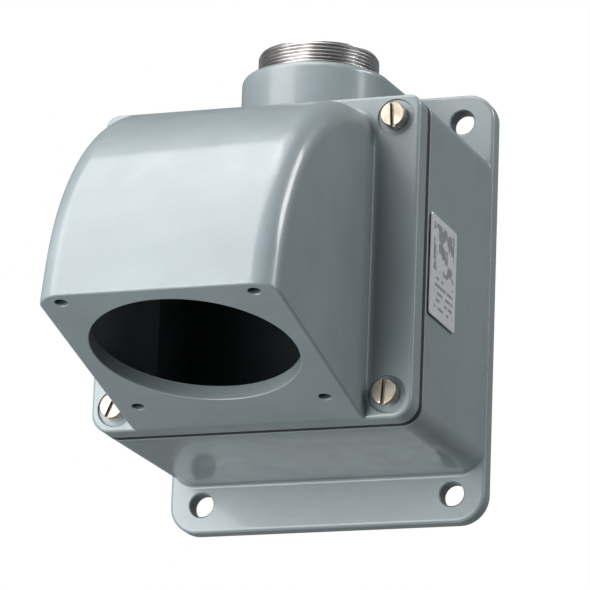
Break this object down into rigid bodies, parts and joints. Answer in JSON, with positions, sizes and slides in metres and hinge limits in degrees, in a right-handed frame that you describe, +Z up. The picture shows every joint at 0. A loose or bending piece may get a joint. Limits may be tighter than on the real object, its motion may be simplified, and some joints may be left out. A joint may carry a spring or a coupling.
{
  "type": "generator inlet box",
  "caption": "Cast wall box with a threaded conduit hub on top and a hooded angle adapter whose sloping face takes a flanged power inlet.",
  "frame": {"origin": "centre of the mounting plate's back face, on the wall plane", "axes": "+X to the right seen from the front, +Y into the wall, +Z up with the conduit hub on top"},
  "size_m": [0.136, 0.2111, 0.1924],
  "materials": {
    "grey_paint": "satin grey enamel over cast aluminium",
    "black_rubber": "matte black",
    "nickel_brass": "pale plated brass",
    "plain_steel": "bright machined steel",
    "zinc_plate": "zinc plated",
    "black_nylon": "moulded",
    "tin_plate": "tin plated",
    "green_screw": "green passivated",
    "silver_foil": "satin foil"
  },
  "bodies": {
    "box": {"back_box": "grey_paint", "box_gasket": "black_rubber", "conduit_nipple": "plain_steel", "hub_seal_ring": "black_rubber", "hub_locknut": "zinc_plate", "throat_bushing": "black_nylon", "ground_lug": "tin_plate", "ground_screw": "green_screw", "ground_washer": "plain_steel", "rating_plate": "silver_foil"},
    "adapter": {"angle_adapter": "grey_paint"},
    "washer_tl": {"lock_washer_tl": "plain_steel"},
    "washer_tr": {"lock_washer_tr": "plain_steel"},
    "washer_bl": {"lock_washer_bl": "plain_steel"},
    "washer_br": {"lock_washer_br": "plain_steel"},
    "screw_tl": {"adapter_screw_tl": "nickel_brass"},
    "screw_tr": {"adapter_screw_tr": "nickel_brass"},
    "screw_bl": {"adapter_screw_bl": "nickel_brass"},
    "screw_br": {"adapter_screw_br": "nickel_brass"},
    "clamp_screw": {"lug_clamp_screw": "nickel_brass"}
  },
  "joints": [
    {"name": "adapter_lift_off", "type": "slide", "parent": "box", "child": "adapter", "axis": [0, -1, 0], "range_m": [0, 0.1]},
    {"name": "screw_tl_travel", "type": "slide", "parent": "adapter", "child": "washer_tl", "axis": [0, -1, 0], "range_m": [0, 0.015]},
    {"name": "screw_tr_travel", "type": "slide", "parent": "adapter", "child": "washer_tr", "axis": [0, -1, 0], "range_m": [0, 0.015]},
    {"name": "screw_bl_travel", "type": "slide", "parent": "adapter", "child": "washer_bl", "axis": [0, -1, 0], "range_m": [0, 0.015]},
    {"name": "screw_br_travel", "type": "slide", "parent": "adapter", "child": "washer_br", "axis": [0, -1, 0], "range_m": [0, 0.015]},
    {"name": "screw_tl_turn", "type": "hinge", "parent": "washer_tl", "child": "screw_tl", "pos_m": [-0.0565, -0.1013, 0.051], "axis": [0, -1, 0], "range_deg": [0, 5400]},
    {"name": "screw_tr_turn", "type": "hinge", "parent": "washer_tr", "child": "screw_tr", "pos_m": [0.0565, -0.1013, 0.051], "axis": [0, -1, 0], "range_deg": [0, 5400]},
    {"name": "screw_bl_turn", "type": "hinge", "parent": "washer_bl", "child": "screw_bl", "pos_m": [-0.0565, -0.1013, -0.062], "axis": [0, -1, 0], "range_deg": [0, 5400]},
    {"name": "screw_br_turn", "type": "hinge", "parent": "washer_br", "child": "screw_br", "pos_m": [0.0565, -0.1013, -0.062], "axis": [0, -1, 0], "range_deg": [0, 5400]},
    {"name": "clamp_screw_travel", "type": "slide", "parent": "box", "child": "clamp_screw", "axis": [0, 1, 0], "range_m": [0, 0.004]}
  ],
  "couplings": [
    {"joint": "screw_tl_turn", "follows": "screw_tl_travel", "rad_per_m": 6283.2},
    {"joint": "screw_tr_turn", "follows": "screw_tr_travel", "rad_per_m": 6283.2},
    {"joint": "screw_bl_turn", "follows": "screw_bl_travel", "rad_per_m": 6283.2},
    {"joint": "screw_br_turn", "follows": "screw_br_travel", "rad_per_m": 6283.2}
  ]
}
